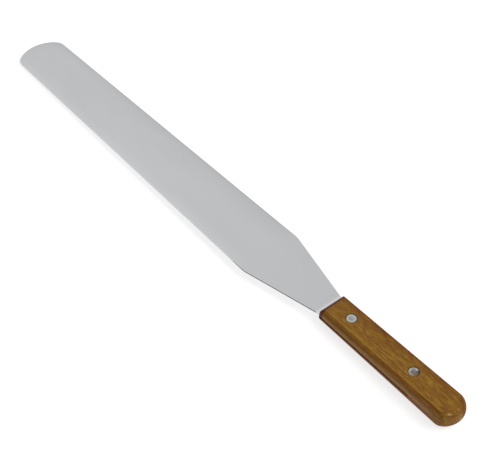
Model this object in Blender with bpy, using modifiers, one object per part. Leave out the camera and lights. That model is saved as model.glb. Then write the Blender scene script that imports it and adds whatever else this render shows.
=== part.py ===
"""Icing spatula: a long flexible blade, a slotted wooden handle and two cutler's rivets.

Metres, +Z up. The tool lies along X, with the blade's tip towards -X, and rests on the handle's lower face.

Every piece is modelled in the tool's own frame: u runs from the handle's front face towards its butt, y runs
across, and h is the height above the middle of the blade's thickness. The handle thickens towards its butt,
so its lower face slopes in that frame. One empty carries all the pieces and tilts the tool by that slope,
which lays the lower face flat on the floor and brings the blade's tip down close to it.
"""
from math import atan, atan2, cos, hypot, pi, radians, sin, sqrt, tan

import bmesh
import bpy
from mathutils import Vector

# Blade
EXPOSED_LENGTH = 0.3556        # from the tip to the handle's front face
SHOULDER_WIDTH = 0.0496        # the blade's widest place, where the neck begins
TIP_WIDTH = 0.0402
NECK_LENGTH = 0.0629           # from the shoulders to the handle
NECK_WIDTH = 0.0206            # where the neck enters the handle
TIP_CROWN = 0.0092             # how far the rounded tip stands out over its width
TIP_CORNER_RADIUS = 0.0103
SHOULDER_RADIUS = 0.0187
STOCK_THICKNESS = 0.0012       # at the handle and along the tang
TIP_THICKNESS = 0.0007         # the blade is ground thinner towards its tip

# Tang, the part of the blade inside the handle
TANG_WIDTH = 0.0180
TANG_RUN_IN = 0.0060           # over this length the neck comes down to the tang's width
TANG_BEHIND_RIVET = 0.0070     # steel left behind the rear rivet
TANG_CORNER_RADIUS = 0.0040

# Handle
HANDLE_LENGTH = 0.12065
FRONT_WIDTH = 0.0240
REAR_WIDTH = 0.0255
FRONT_FLAT_WIDTH = 0.0170      # between the long creases of the upper and lower faces
REAR_FLAT_WIDTH = 0.0196
FRONT_THICKNESS = 0.0124
REAR_THICKNESS = 0.0158
SIDE_SWEEP = radians(53)       # arc of an ellipse that each side covers from its widest line to a crease
BUTT_LENGTH = 0.0115           # length of the rounded end in plan
UPPER_BUTT_ROUNDING = 0.0018   # how far the upper face stops short of the butt
LOWER_BUTT_ROUNDING = 0.0058   # the butt draws in further below its widest line
BEVEL_LENGTH = 0.0019          # bevels along the front face's upper and lower edges
BEVEL_DEPTH = 0.0025

# Saw slot
TANG_END_ROOM = 0.0022         # from the tang's end to the deepest point of the slot
SAW_RADIUS = 0.060             # the slot ends in the arc of the saw that cut it

# Rivets, each a post pressed into a sleeve
FRONT_RIVET_FROM_FRONT = 0.0194
RIVET_SPACING = 0.0586
HEAD_DIAMETER = 0.0074
HEAD_THICKNESS = 0.0012
HEAD_CHAMFER = 0.0004
DISH_DIAMETER = 0.0040         # the heads are dished a little inside a flat rim
DISH_DEPTH = 0.00015
HEAD_RECESS = 0.0002           # the heads sit just below the wood
POST_DIAMETER = 0.0024
POST_END_CHAMFER = 0.0003
SLEEVE_WALL = 0.0008

# Room left between pieces that fit each other
FIT_GAP = 0.0003

ARC_STEPS = 10                 # points on each rounded corner of an outline
SIDE_LEVELS = 6                # levels between a side's widest line and a crease
BUTT_STEPS = 22
ROUND_STEPS = 40               # facets round a rivet

TOOL_SLOPE = atan((REAR_THICKNESS - FRONT_THICKNESS) / 2 / HANDLE_LENGTH)
REAR_RIVET_FROM_FRONT = FRONT_RIVET_FROM_FRONT + RIVET_SPACING
TANG_LENGTH = REAR_RIVET_FROM_FRONT + TANG_BEHIND_RIVET
SLEEVE_DIAMETER = POST_DIAMETER + 2 * FIT_GAP + 2 * SLEEVE_WALL


def clear_scene():
    """Remove everything that the scene holds."""
    for item in list(bpy.data.objects):
        bpy.data.objects.remove(item, do_unlink=True)


def new_collection(name):
    """A new collection in the scene."""
    group = bpy.data.collections.new(name)
    bpy.context.scene.collection.children.link(group)
    return group


def principled(name, colour, roughness, metallic):
    """A plain Principled material."""
    material = bpy.data.materials.new(name)
    material.use_nodes = True
    shader = material.node_tree.nodes["Principled BSDF"]
    shader.inputs["Base Color"].default_value = (*colour, 1.0)
    shader.inputs["Roughness"].default_value = roughness
    shader.inputs["Metallic"].default_value = metallic
    return material


def rounded_corner(before, corner, after, radius):
    """Points of the arc of the given radius that touches both sides of a corner."""
    corner = Vector(corner)
    back = (Vector(before) - corner).normalized()
    ahead = (Vector(after) - corner).normalized()
    half_angle = back.angle(ahead) / 2
    reach = radius / tan(half_angle)
    centre = corner + (back + ahead).normalized() * (radius / sin(half_angle))
    first = corner + back * reach - centre
    last = corner + ahead * reach - centre
    start = atan2(first.y, first.x)
    turn = (atan2(last.y, last.x) - start + pi) % (2 * pi) - pi
    angles = [start + turn * step / ARC_STEPS for step in range(ARC_STEPS + 1)]
    return [centre + Vector((cos(angle), sin(angle))) * radius for angle in angles]


def rounded_tip():
    """Half of the tip's outline: a shallow arc across the blade, run into the side by a corner arc."""
    half_width = TIP_WIDTH / 2
    crown_radius = (half_width ** 2 + TIP_CROWN ** 2) / (2 * TIP_CROWN)
    crown_centre = -EXPOSED_LENGTH + crown_radius
    corner_y = half_width - TIP_CORNER_RADIUS
    corner_u = crown_centre - sqrt((crown_radius - TIP_CORNER_RADIUS) ** 2 - corner_y ** 2)
    meet = atan2(corner_y, crown_centre - corner_u)
    crown = [meet * step / ARC_STEPS for step in range(ARC_STEPS + 1)]
    corner = [meet + (pi / 2 - meet) * step / ARC_STEPS for step in range(1, ARC_STEPS + 1)]
    points = [(crown_centre - crown_radius * cos(turn), crown_radius * sin(turn)) for turn in crown]
    points += [(corner_u - TIP_CORNER_RADIUS * cos(turn), corner_y + TIP_CORNER_RADIUS * sin(turn))
               for turn in corner]
    return points


def blade_outline():
    """The blade and its tang as one outline in plan, from the tip's apex round both sides."""
    tip = rounded_tip()
    shoulder = (-NECK_LENGTH, SHOULDER_WIDTH / 2)
    neck = (0.0, NECK_WIDTH / 2)
    tang_start = (TANG_RUN_IN, TANG_WIDTH / 2)
    tang_end = (TANG_LENGTH, TANG_WIDTH / 2)
    half = tip
    half += rounded_corner(tip[-1], shoulder, neck, SHOULDER_RADIUS)
    half += [neck, tang_start]
    half += rounded_corner(tang_start, tang_end, (TANG_LENGTH, 0.0), TANG_CORNER_RADIUS)
    other_half = [(point[0], -point[1]) for point in reversed(half[1:])]
    return [(point[0], point[1]) for point in half] + other_half


def flat_solid(name, outline, thickness, group):
    """A mesh object made from a flat outline, with half of its thickness on each side of h = 0."""
    curve = bpy.data.curves.new(name, "CURVE")
    curve.dimensions = "2D"
    curve.fill_mode = "BOTH"
    curve.extrude = thickness / 2
    spline = curve.splines.new("POLY")
    spline.points.add(len(outline) - 1)
    for point, (u, y) in zip(spline.points, outline):
        point.co = (u, y, 0.0, 1.0)
    spline.use_cyclic_u = True
    flat = bpy.data.objects.new(name + "_outline", curve)
    group.objects.link(flat)
    bpy.context.view_layer.update()
    evaluated = flat.evaluated_get(bpy.context.evaluated_depsgraph_get())
    mesh = bpy.data.meshes.new_from_object(evaluated)
    solid = bpy.data.objects.new(name, mesh)
    solid.matrix_world = flat.matrix_world
    group.objects.link(solid)
    bpy.data.objects.remove(flat, do_unlink=True)
    shape = bmesh.new()
    shape.from_mesh(mesh)
    bmesh.ops.remove_doubles(shape, verts=shape.verts, dist=1e-6)
    bmesh.ops.recalc_face_normals(shape, faces=shape.faces)
    shape.to_mesh(mesh)
    shape.free()
    return solid


def turned_solid(name, profile, u, group):
    """A round solid whose axis stands at u, from a profile of radius and height listed from its top down."""
    mesh = bpy.data.meshes.new(name)
    points = [(radius, 0.0, height) for radius, height in profile]
    mesh.from_pydata(points, [(first, first + 1) for first in range(len(points) - 1)], [])
    solid = bpy.data.objects.new(name, mesh)
    solid.location.x = u
    group.objects.link(solid)
    screw = solid.modifiers.new("turn", "SCREW")
    screw.steps = ROUND_STEPS
    screw.render_steps = ROUND_STEPS
    screw.use_merge_vertices = True
    screw.merge_threshold = 1e-6
    return solid


def shade_round(item, angle=radians(35)):
    """Smooth shading with creases kept at sharp edges."""
    item.data.shade_smooth()
    item.data.set_sharp_from_angle(angle=angle)


def cut(item, cutter):
    """Cut one solid out of another."""
    modifier = item.modifiers.new("cut_" + cutter.name, "BOOLEAN")
    modifier.operation = "DIFFERENCE"
    modifier.solver = "EXACT"
    modifier.object = cutter


def as_cutter(item):
    """Mark a solid as a tool that only cuts."""
    item.hide_render = True
    item.display_type = "WIRE"
    return item


def half_thickness(u):
    """Height of the handle's upper face at u."""
    return (FRONT_THICKNESS + (REAR_THICKNESS - FRONT_THICKNESS) * u / HANDLE_LENGTH) / 2


def half_width(u):
    """Half of the handle's width at u, before the butt rounds it off."""
    return (FRONT_WIDTH + (REAR_WIDTH - FRONT_WIDTH) * u / HANDLE_LENGTH) / 2


def crease_inset(u):
    """How far the long creases stand in from the widest line at u."""
    return half_width(u) - (FRONT_FLAT_WIDTH + (REAR_FLAT_WIDTH - FRONT_FLAT_WIDTH) * u / HANDLE_LENGTH) / 2


def side_levels():
    """Sweep angles of the handle's levels, with one where the front bevel begins."""
    half = [SIDE_SWEEP * step / SIDE_LEVELS for step in range(1, SIDE_LEVELS + 1)]
    bevel_height = 1 - 2 * BEVEL_DEPTH / FRONT_THICKNESS
    bevel_sine = bevel_height * sin(SIDE_SWEEP)
    half.append(atan2(bevel_sine, sqrt(1 - bevel_sine ** 2)))
    half.sort()
    return [-angle for angle in reversed(half)] + [0.0] + half


def handle_level(angle):
    """One closed ring round the handle, at one sweep angle of its sides."""
    inset_share = (1 - cos(angle)) / (1 - cos(SIDE_SWEEP))
    height_share = sin(angle) / sin(SIDE_SWEEP)
    below_face = FRONT_THICKNESS / 2 * (1 - abs(height_share))
    front = BEVEL_LENGTH * max(0.0, 1 - below_face / BEVEL_DEPTH)
    butt_start = HANDLE_LENGTH - BUTT_LENGTH
    at_end = UPPER_BUTT_ROUNDING if angle > 0 else LOWER_BUTT_ROUNDING

    def place(u, y):
        return u, y, height_share * half_thickness(u)

    front_reach = half_width(front) - inset_share * crease_inset(front)
    ring = [place(front, -front_reach)]
    for step in range(BUTT_STEPS + 1):
        turn = -pi / 2 + pi * step / BUTT_STEPS
        u = butt_start + BUTT_LENGTH * cos(turn)
        reach = half_width(u)
        along, across = cos(turn) / BUTT_LENGTH, sin(turn) / reach
        at_side = crease_inset(u) * (1 - cos(turn) ** 2)
        inset = inset_share * (at_side + at_end * cos(turn) ** 2) / hypot(along, across)
        ring.append(place(u - along * inset, reach * sin(turn) - across * inset))
    ring.append(place(front, front_reach))
    return ring


def handle_block(group):
    """The wooden handle before it is slotted and drilled, lofted from ring to ring."""
    shape = bmesh.new()
    rings = []
    for angle in side_levels():
        rings.append([shape.verts.new(point) for point in handle_level(angle)])
    for lower, upper in zip(rings, rings[1:]):
        for here in range(len(lower)):
            after = (here + 1) % len(lower)
            shape.faces.new((lower[here], lower[after], upper[after], upper[here]))
    shape.faces.new(list(reversed(rings[0])))
    shape.faces.new(rings[-1])
    mesh = bpy.data.meshes.new("handle")
    shape.to_mesh(mesh)
    shape.free()
    block = bpy.data.objects.new("handle", mesh)
    group.objects.link(block)
    return block


def saw_slot(group):
    """Cutter for the slot that takes the tang, sawn in from the front and ending in the saw's arc."""
    half_span = REAR_WIDTH
    ahead_of_front = BEVEL_LENGTH
    depth = TANG_LENGTH + TANG_END_ROOM
    outline = [(-ahead_of_front, -half_span)]
    for step in range(ARC_STEPS + 1):
        y = half_span * (2 * step / ARC_STEPS - 1)
        outline.append((depth - SAW_RADIUS + sqrt(SAW_RADIUS ** 2 - y ** 2), y))
    outline.append((-ahead_of_front, half_span))
    return as_cutter(flat_solid("saw_slot", outline, STOCK_THICKNESS + 2 * FIT_GAP, group))


def head_seat_depth():
    """Depth of a counterbore below the handle's face."""
    return HEAD_RECESS + HEAD_THICKNESS + FIT_GAP


def rivet_bore(name, u, group):
    """Cutter for a rivet's hole through the handle, counterbored from both faces."""
    face = half_thickness(u)
    clear_of_face = FRONT_THICKNESS
    seat = face - head_seat_depth()
    head_radius = HEAD_DIAMETER / 2 + FIT_GAP
    sleeve_radius = SLEEVE_DIAMETER / 2 + FIT_GAP
    upper = [(0.0, clear_of_face), (head_radius, clear_of_face), (head_radius, seat), (sleeve_radius, seat)]
    lower = [(radius, -height) for radius, height in reversed(upper)]
    return as_cutter(turned_solid(name, upper + lower, u, group))


def rivet_post(name, u, group):
    """Upper half of a rivet: a head on a solid post that is pressed down into the sleeve."""
    head_radius, post_radius = HEAD_DIAMETER / 2, POST_DIAMETER / 2
    top = half_thickness(u) - HEAD_RECESS
    under_head = top - HEAD_THICKNESS
    end = sleeve_floor(u) + FIT_GAP
    return turned_solid(name, [
        (0.0, top - DISH_DEPTH), (DISH_DIAMETER / 2, top),
        (head_radius - HEAD_CHAMFER, top), (head_radius, top - HEAD_CHAMFER),
        (head_radius, under_head), (post_radius, under_head),
        (post_radius, end + POST_END_CHAMFER), (post_radius - POST_END_CHAMFER, end), (0.0, end),
    ], u, group)


def sleeve_floor(u):
    """Height of the bottom of the sleeve's bore, level with the inside of its head."""
    return -half_thickness(u) + HEAD_RECESS + HEAD_THICKNESS


def rivet_sleeve(name, u, group):
    """Lower half of a rivet: a head on a tube that lines the hole and grips the post."""
    head_radius, tube_radius = HEAD_DIAMETER / 2, SLEEVE_DIAMETER / 2
    bore_radius = POST_DIAMETER / 2 + FIT_GAP
    bottom = -half_thickness(u) + HEAD_RECESS
    over_head = sleeve_floor(u)
    rim = half_thickness(u) - HEAD_RECESS - HEAD_THICKNESS - FIT_GAP
    return turned_solid(name, [
        (0.0, over_head), (bore_radius, over_head), (bore_radius, rim), (tube_radius, rim),
        (tube_radius, over_head), (head_radius, over_head),
        (head_radius, bottom + HEAD_CHAMFER), (head_radius - HEAD_CHAMFER, bottom),
        (DISH_DIAMETER / 2, bottom), (0.0, bottom + DISH_DEPTH),
    ], u, group)


def tang_hole(name, u, group):
    """Cutter for a rivet's hole through the tang."""
    radius = SLEEVE_DIAMETER / 2 + FIT_GAP
    reach = 2 * STOCK_THICKNESS
    return as_cutter(turned_solid(name, [(0.0, reach), (radius, reach), (radius, -reach), (0.0, -reach)],
                                  u, group))


def make_blade(parts, cutters):
    """The blade with its tang, ground thinner from the handle to the tip."""
    blade = flat_solid("blade", blade_outline(), STOCK_THICKNESS, parts)
    shape = bmesh.new()
    shape.from_mesh(blade.data)
    geometry = list(shape.verts) + list(shape.edges) + list(shape.faces)
    bmesh.ops.bisect_plane(shape, geom=geometry, plane_co=(0, 0, 0), plane_no=(1, 0, 0), dist=1e-6)
    for vertex in shape.verts:
        towards_tip = max(0.0, -vertex.co.x / EXPOSED_LENGTH)
        vertex.co.z *= 1 - towards_tip * (1 - TIP_THICKNESS / STOCK_THICKNESS)
    shape.to_mesh(blade.data)
    shape.free()
    cut(blade, tang_hole("front_tang_hole", FRONT_RIVET_FROM_FRONT, cutters))
    cut(blade, tang_hole("rear_tang_hole", REAR_RIVET_FROM_FRONT, cutters))
    blade.data.materials.append(principled("blade_steel", (0.51, 0.51, 0.52), 0.35, 1.0))
    return blade


def make_handle(parts, cutters):
    """The one-piece wooden handle, slotted for the tang and counterbored for the rivets."""
    handle = handle_block(parts)
    cut(handle, saw_slot(cutters))
    cut(handle, rivet_bore("front_rivet_bore", FRONT_RIVET_FROM_FRONT, cutters))
    cut(handle, rivet_bore("rear_rivet_bore", REAR_RIVET_FROM_FRONT, cutters))
    shade_round(handle, radians(20))
    handle.data.materials.append(principled("lacquered_wood", (0.22, 0.105, 0.024), 0.25, 0.0))
    return handle


def make_rivets(parts):
    """Both rivets, each a post and a sleeve."""
    rivets = []
    for name, u in (("front_rivet", FRONT_RIVET_FROM_FRONT), ("rear_rivet", REAR_RIVET_FROM_FRONT)):
        for half, shaped in (("post", rivet_post), ("sleeve", rivet_sleeve)):
            piece = shaped(name + "_" + half, u, parts)
            shade_round(piece)
            piece.data.materials.append(principled(name + "_" + half + "_metal", (0.42, 0.42, 0.42), 0.3, 1.0))
            rivets.append(piece)
    return rivets


def stand_on_floor(group, pieces):
    """Carry the pieces on an empty that lays the handle's lower face on the floor, over the origin."""
    carrier = bpy.data.objects.new("icing_spatula", None)
    group.objects.link(carrier)
    carrier.rotation_euler.y = -TOOL_SLOPE
    carrier.location.x = (EXPOSED_LENGTH - HANDLE_LENGTH) / 2 * cos(TOOL_SLOPE)
    carrier.location.z = FRONT_THICKNESS / 2 * cos(TOOL_SLOPE)
    for piece in pieces:
        piece.parent = carrier


def main():
    """Model the whole spatula."""
    clear_scene()
    parts = new_collection("icing_spatula")
    cutters = new_collection("cutters")
    pieces = [make_blade(parts, cutters), make_handle(parts, cutters), *make_rivets(parts)]
    stand_on_floor(parts, pieces + list(cutters.objects))
    bpy.context.view_layer.update()


main()
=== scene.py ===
"""Looks of an icing spatula: a satin steel blade, a lacquered wooden handle and two cutler's rivets.

Every piece is modelled in the tool's own frame, where u runs from the handle's front face towards its butt,
y across the blade and h upwards from the middle of the blade's thickness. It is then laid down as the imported
model lies: the handle's lower face on the floor and the blade's tip towards -X, just above it.
"""
import logging
from collections.abc import Callable, Iterable, Iterator, Sequence
from contextlib import contextmanager
from dataclasses import dataclass, field, replace
from enum import Enum
from functools import cached_property
from math import atan, atan2, cos, hypot, pi, radians, sin, sqrt, tan
from typing import Self

import bmesh
import bpy
from mathutils import Matrix, Vector


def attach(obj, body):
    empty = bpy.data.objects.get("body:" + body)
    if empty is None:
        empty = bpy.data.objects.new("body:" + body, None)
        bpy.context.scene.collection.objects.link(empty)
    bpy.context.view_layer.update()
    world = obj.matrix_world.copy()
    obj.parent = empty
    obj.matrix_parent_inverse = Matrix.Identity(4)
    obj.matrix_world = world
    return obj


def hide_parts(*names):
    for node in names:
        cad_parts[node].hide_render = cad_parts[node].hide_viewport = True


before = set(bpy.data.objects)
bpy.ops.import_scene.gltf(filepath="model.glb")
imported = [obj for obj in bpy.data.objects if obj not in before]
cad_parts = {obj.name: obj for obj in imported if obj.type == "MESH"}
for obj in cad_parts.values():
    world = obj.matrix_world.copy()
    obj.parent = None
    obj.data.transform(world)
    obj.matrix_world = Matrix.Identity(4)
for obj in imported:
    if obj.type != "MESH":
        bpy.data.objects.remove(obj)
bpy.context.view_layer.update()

LOG = logging.getLogger("icing_spatula")
BODY = "root"
SAME_HEIGHT = 1e-6

Point = tuple[float, float]
Span = tuple[float, float]
Triple = tuple[float, float, float]
Colour = tuple[float, float, float]
Item = bpy.types.Object
Material = bpy.types.Material
Element = bmesh.types.BMEdge | bmesh.types.BMFace
Socket = bpy.types.NodeSocket
Layer = tuple[Socket, Colour]


class Face(Enum):
    """The side of the handle that a rivet head sits in."""

    UPPER = 1
    LOWER = -1


# Modelling helpers


def deselect_all() -> None:
    """Deselect every object."""
    for item in bpy.context.selected_objects:
        item.select_set(False)


def make_active(item: Item) -> None:
    """Select one object alone and make it active.

    Args:
        item: The object.
    """
    deselect_all()
    item.select_set(True)
    bpy.context.view_layer.objects.active = item


@contextmanager
def editing(item: Item, mode: str = "FACE") -> Iterator[None]:
    """Hold an object in edit mode with nothing selected.

    Args:
        item: The object to edit.
        mode: The kind of element that is selected: VERT, EDGE or FACE.
    """
    make_active(item)
    bpy.ops.object.mode_set(mode="EDIT")
    bpy.ops.mesh.select_mode(type=mode)
    bpy.ops.mesh.select_all(action="DESELECT")
    yield
    bpy.ops.object.mode_set(mode="OBJECT")


def select_where(item: Item, kind: str, test: Callable[[Element], bool]) -> None:
    """Select the edges or the faces that pass a test, in edit mode.

    Args:
        item: The object being edited.
        kind: Which elements are tested: edges or faces.
        test: Says whether an element is wanted.
    """
    shape = bmesh.from_edit_mesh(item.data)
    shape.normal_update()
    for element in getattr(shape, kind):
        element.select_set(test(element))
    bmesh.update_edit_mesh(item.data)


def set_vertices(item: Item, place: Callable[[bmesh.types.BMVert], Vector]) -> None:
    """Move every vertex to a computed place, in edit mode.

    Args:
        item: The object being edited.
        place: Gives a vertex's new place.
    """
    shape = bmesh.from_edit_mesh(item.data)
    for vertex in shape.verts:
        vertex.co = place(vertex)
    bmesh.update_edit_mesh(item.data)


def lies_at(element: Element, height: float) -> bool:
    """Say whether every corner of an edge or a face lies at a height."""
    return all(abs(vertex.co.z - height) < SAME_HEIGHT for vertex in element.verts)


def extrude_upwards(length: float) -> None:
    """Extrude the selected face straight upwards, or downwards by a negative length, in edit mode."""
    bpy.ops.mesh.extrude_region_move(TRANSFORM_OT_translate={"value": (0.0, 0.0, length)})


def apply_modifier(item: Item, name: str, kind: str, **settings: object) -> None:
    """Add a modifier and apply it at once.

    Args:
        item: The object to modify.
        name: The modifier's name.
        kind: Its type, as Blender names it.
        **settings: Its settings.
    """
    make_active(item)
    modifier = item.modifiers.new(name, kind)
    for key, value in settings.items():
        setattr(modifier, key, value)
    bpy.ops.object.modifier_apply(modifier=modifier.name)


def cut_away(item: Item, cutter: Item) -> None:
    """Cut one solid out of another and remove the cutter."""
    apply_modifier(item, "cut", "BOOLEAN", operation="DIFFERENCE", solver="EXACT", object=cutter)
    bpy.data.objects.remove(cutter, do_unlink=True)


def cylinder(name: str, radius: float, u: float, low: float, high: float, steps: int = 64) -> Item:
    """Add an upright cylinder.

    Args:
        name: The object's name.
        radius: Its radius.
        u: Where its axis stands along the tool.
        low: Height of its lower end.
        high: Height of its upper end.
        steps: Number of its sides.

    Returns:
        The new object.
    """
    deselect_all()
    bpy.ops.mesh.primitive_cylinder_add(
        vertices=steps, radius=radius, depth=high - low, location=(u, 0.0, (low + high) / 2))
    item = bpy.context.object
    item.name = name
    bpy.ops.object.transform_apply(location=True, rotation=True, scale=True)
    return item


def smooth(item: Item, angle: float) -> None:
    """Shade an object smooth, with creases kept at edges sharper than an angle."""
    make_active(item)
    bpy.ops.object.shade_smooth_by_angle(angle=angle)


def corner_arc(before: Point, corner: Point, after: Point, radius: float, steps: int) -> list[Point]:
    """Round a corner of an outline.

    Args:
        before: A point on the side that leads to the corner.
        corner: The corner.
        after: A point on the side that leaves it.
        radius: Radius of the arc.
        steps: Number of stretches of the arc.

    Returns:
        The points of the arc that touches both sides.
    """
    tip = Vector(corner)
    back = (Vector(before) - tip).normalized()
    ahead = (Vector(after) - tip).normalized()
    half_angle = back.angle(ahead) / 2
    reach = radius / tan(half_angle)
    centre = tip + (back + ahead).normalized() * (radius / sin(half_angle))
    first = tip + back * reach - centre
    last = tip + ahead * reach - centre
    start = atan2(first.y, first.x)
    turn = (atan2(last.y, last.x) - start + pi) % (2 * pi) - pi
    angles = [start + turn * step / steps for step in range(steps + 1)]
    return [(centre.x + cos(angle) * radius, centre.y + sin(angle) * radius) for angle in angles]


def stretch(first: Point, last: Point, steps: int) -> list[Point]:
    """Space points evenly between two others.

    Args:
        first: The point before them.
        last: The point after them.
        steps: Number of stretches between the two.

    Returns:
        The points between, without the two.
    """
    shares = [step / steps for step in range(1, steps)]
    return [(first[0] + (last[0] - first[0]) * share, first[1] + (last[1] - first[1]) * share)
            for share in shares]


def distance_to_line(line: Sequence[Point], point: Point) -> float:
    """Distance from a point to a line of several stretches.

    Args:
        line: The line's points.
        point: The point.

    Returns:
        The distance to the nearest stretch.
    """
    nearest = float("inf")
    for first, last in zip(line, line[1:]):
        along = Vector(last) - Vector(first)
        reach = Vector(point) - Vector(first)
        share = min(1.0, max(0.0, reach.dot(along) / along.length_squared))
        nearest = min(nearest, (reach - along * share).length)
    return nearest


# Node trees


@dataclass(frozen=True)
class Grain:
    """A pattern of noise, stretched along the axes."""

    scale: Triple
    detail: float = 2.0
    rough: float = 0.5
    offset: Triple = (0.0, 0.0, 0.0)
    twist: float = 0.0


@dataclass(frozen=True)
class Fade:
    """A smooth change from one value to another over a stretch."""

    low: float
    high: float
    first: float = 0.0
    last: float = 1.0

    def moved(self, by: float) -> Self:
        """The same change further along."""
        return replace(self, low=self.low + by, high=self.high + by)


@dataclass(frozen=True)
class Zone:
    """A stretch of values where something shows at its strength, with a soft start and a soft end."""

    rise: Span
    fall: Span
    strength: float = 1.0


@dataclass
class Nodes:
    """A node tree under construction."""

    tree: bpy.types.NodeTree

    def add(self, kind: str, **settings: object) -> bpy.types.Node:
        """Add a node.

        Args:
            kind: The node's type, without its ShaderNode prefix.
            **settings: Properties of the node.

        Returns:
            The new node.
        """
        node = self.tree.nodes.new("ShaderNode" + kind)
        for key, value in settings.items():
            setattr(node, key, value)
        return node

    def join(self, source: Socket, target: Socket) -> None:
        """Link an output to an input."""
        self.tree.links.new(source, target)

    def feed(self, value: Socket | float | Colour, target: Socket) -> None:
        """Link a socket to an input, or write a plain number or colour there.

        Args:
            value: The socket, number or colour.
            target: The input.
        """
        if isinstance(value, Socket):
            self.join(value, target)
        else:
            target.default_value = value if isinstance(value, float) else (*value, 1.0)

    def object_coordinates(self, scale: Triple, offset: Triple) -> Socket:
        """Object coordinates, stretched.

        Args:
            scale: Scale along each axis.
            offset: Offset along each axis, after the scale.

        Returns:
            The socket that carries them.
        """
        coordinates = self.add("TexCoord")
        mapping = self.add("Mapping")
        mapping.inputs["Scale"].default_value = scale
        mapping.inputs["Location"].default_value = offset
        self.join(coordinates.outputs["Object"], mapping.inputs["Vector"])
        return mapping.outputs["Vector"]

    def noise(self, grain: Grain) -> Socket:
        """Noise on stretched object coordinates.

        Args:
            grain: The pattern.

        Returns:
            The noise's value.
        """
        texture = self.add("TexNoise")
        texture.inputs["Scale"].default_value = 1.0
        texture.inputs["Detail"].default_value = grain.detail
        texture.inputs["Roughness"].default_value = grain.rough
        texture.inputs["Distortion"].default_value = grain.twist
        self.join(self.object_coordinates(grain.scale, grain.offset), texture.inputs["Vector"])
        return texture.outputs["Fac"]

    def ramp(self, value: Socket, stops: Iterable[tuple[float, Colour]]) -> Socket:
        """A colour ramp.

        Args:
            value: The value that is coloured.
            stops: Each stop's position and colour.

        Returns:
            The ramp's colour.
        """
        node = self.add("ValToRGB")
        stops = list(stops)
        elements = node.color_ramp.elements
        while len(elements) < len(stops):
            elements.new(0.5)
        for element, (position, colour) in zip(elements, stops):
            element.position = position
            element.color = (*colour, 1.0)
        self.join(value, node.inputs["Fac"])
        return node.outputs["Color"]

    def fade(self, value: Socket, fade: Fade) -> Socket:
        """Map a value smoothly to another.

        Args:
            value: The value that is mapped.
            fade: Where and between which values it changes.

        Returns:
            The mapped value.
        """
        node = self.add("MapRange", interpolation_type="SMOOTHSTEP")
        node.inputs["From Min"].default_value = fade.low
        node.inputs["From Max"].default_value = fade.high
        node.inputs["To Min"].default_value = fade.first
        node.inputs["To Max"].default_value = fade.last
        self.join(value, node.inputs["Value"])
        return node.outputs["Result"]

    def within(self, value: Socket, zone: Zone) -> Socket:
        """The zone's strength over its values and 0 outside them."""
        rising = self.fade(value, Fade(*zone.rise))
        return self.product(rising, self.fade(value, Fade(*zone.fall, zone.strength, 0.0)))

    def math(self, operation: str, *values: Socket | float) -> Socket:
        """Arithmetic on one, two or three values.

        Args:
            operation: The operation's name.
            *values: The values, in order.

        Returns:
            The result.
        """
        node = self.add("Math", operation=operation)
        for value, target in zip(values, node.inputs):
            self.feed(value, target)
        return node.outputs["Value"]

    def product(self, first: Socket | float, *others: Socket | float) -> Socket:
        """Multiply several values.

        Args:
            first: The first value.
            *others: The others, each multiplied in its turn.

        Returns:
            The product.
        """
        result = first
        for other in others:
            result = self.math("MULTIPLY", result, other)
        return result

    def places(self, output: str = "Object") -> list[Socket]:
        """The x, y and z of a point or of the direction that its surface faces.

        Args:
            output: Object for the point, or Normal for the direction.

        Returns:
            The three sockets.
        """
        coordinates = self.add("TexCoord")
        parts = self.add("SeparateXYZ")
        self.join(coordinates.outputs[output], parts.inputs[0])
        return list(parts.outputs)

    def steepness(self) -> Socket:
        """0 on a level face and 1 on an upright one."""
        return self.math("SUBTRACT", 1.0, self.math("ABSOLUTE", self.places("Normal")[2]))

    def axis_distance(self, x: float = 0.0, y: float = 0.0) -> Socket:
        """Distance from an upright axis.

        Args:
            x: Where the axis stands along x.
            y: Where it stands along y.

        Returns:
            The distance.
        """
        distance = self.add("VectorMath", operation="LENGTH")
        self.join(self.object_coordinates((1.0, 1.0, 0.0), (-x, -y, 0.0)), distance.inputs[0])
        return distance.outputs["Value"]

    def round_spot(self, centre: Vector, radius: float, soft: float, strength: float = 1.0) -> Socket:
        """A strength inside an upright cylinder round a point, and 0 outside its soft border."""
        border = Fade(radius - soft / 2, radius + soft / 2, strength, 0.0)
        return self.fade(self.axis_distance(centre.x, centre.y), border)

    def blend(self, share: Socket, first: Socket | Colour, second: Socket | Colour) -> Socket:
        """Blend two colours.

        Args:
            share: Share of the second colour.
            first: The first colour.
            second: The second colour.

        Returns:
            The blended colour.
        """
        node = self.add("Mix", data_type="RGBA")
        self.join(share, node.inputs["Factor"])
        self.feed(first, node.inputs[6])
        self.feed(second, node.inputs[7])
        return node.outputs[2]

    def layered(self, tone: Socket | Colour, layers: Iterable[Layer]) -> Socket:
        """Blend colours over one another.

        Args:
            tone: The lowest colour.
            layers: Each further colour's share and the colour, from the lowest upwards.

        Returns:
            The colour that shows.
        """
        for share, colour in layers:
            tone = self.blend(share, tone, colour)
        return tone

    def mix(self, share: Socket, first: Socket, second: Socket) -> Socket:
        """Mix two values.

        Args:
            share: Share of the second value.
            first: The first value.
            second: The second value.

        Returns:
            The mixed value.
        """
        node = self.add("Mix", data_type="FLOAT")
        for value, target in ((share, 0), (first, 2), (second, 3)):
            self.join(value, node.inputs[target])
        return node.outputs[0]

    def bump(self, height: Socket, depth: float) -> Socket:
        """A bumped normal.

        Args:
            height: Height from 0 to 1.
            depth: Real depth of that height.

        Returns:
            The normal.
        """
        node = self.add("Bump")
        node.inputs["Strength"].default_value = 1.0
        node.inputs["Distance"].default_value = depth
        self.join(height, node.inputs["Height"])
        return node.outputs["Normal"]


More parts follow.
